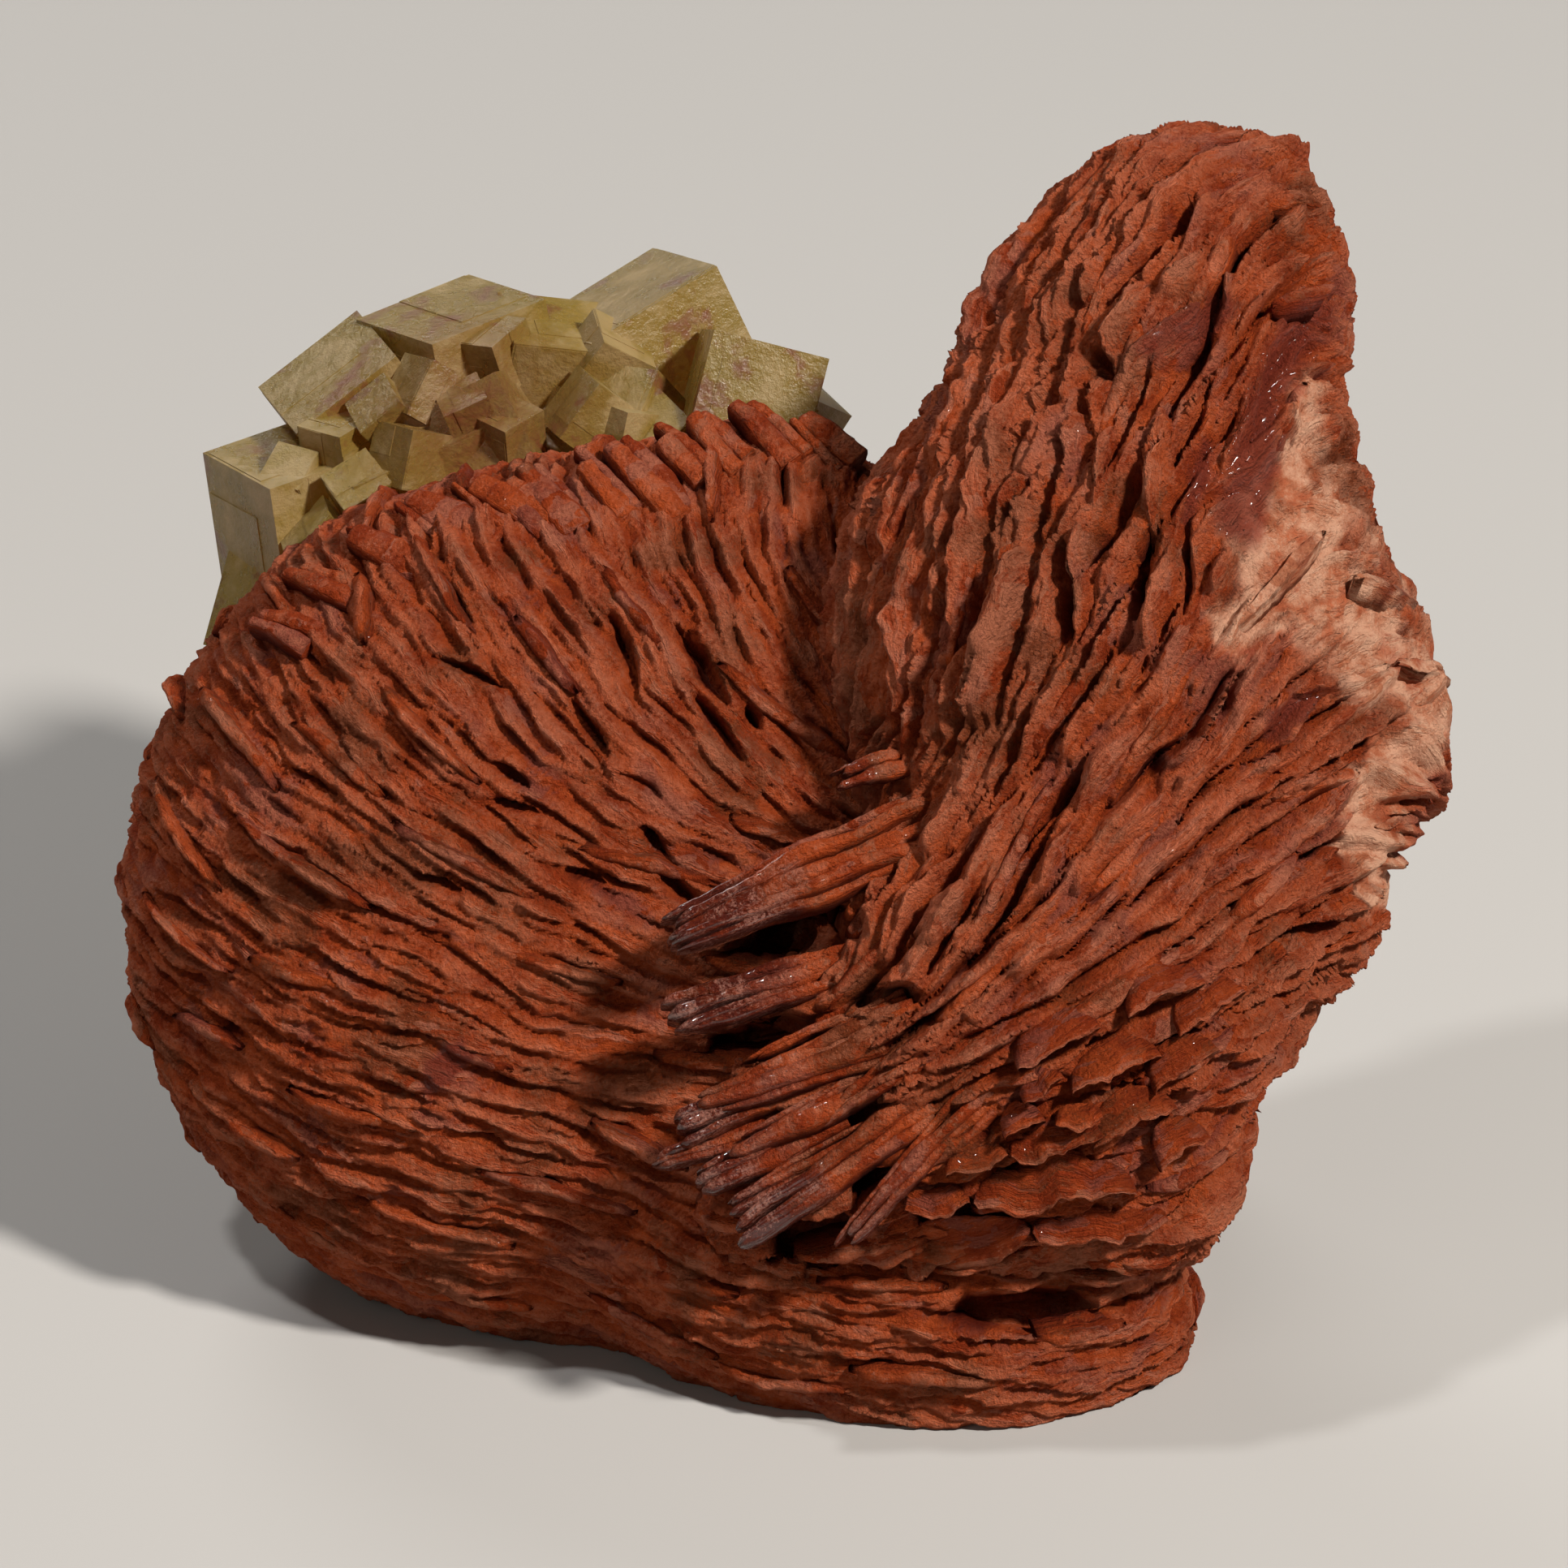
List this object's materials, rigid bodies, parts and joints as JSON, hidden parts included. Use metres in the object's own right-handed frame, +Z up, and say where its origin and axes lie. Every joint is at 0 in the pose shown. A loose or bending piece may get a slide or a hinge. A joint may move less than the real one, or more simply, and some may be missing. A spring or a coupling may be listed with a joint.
{
  "type": "barite with fluorite",
  "caption": "Hand specimen of red crested barite blades grown in fans that meet along a valley, with translucent yellow-green fluorite cubes crusting the back.",
  "frame": {"origin": "middle of the bottom of the bounding box, on the surface the specimen stands on", "axes": "+X across the face from the left fan to the right fan, which is the longest way; +Y away from the viewer, towards the fluorite; +Z up"},
  "size_m": [0.0816, 0.0634, 0.0678],
  "materials": {
    "barite": "matte, earthy, iron-stained blades with a slight sheen on fresh edges",
    "fluorite": "translucent yellow-green crystal, satin faces, milky inside"
  },
  "bodies": {
    "root": {"barite": "barite", "fluorite": "fluorite"}
  },
  "joints": []
}
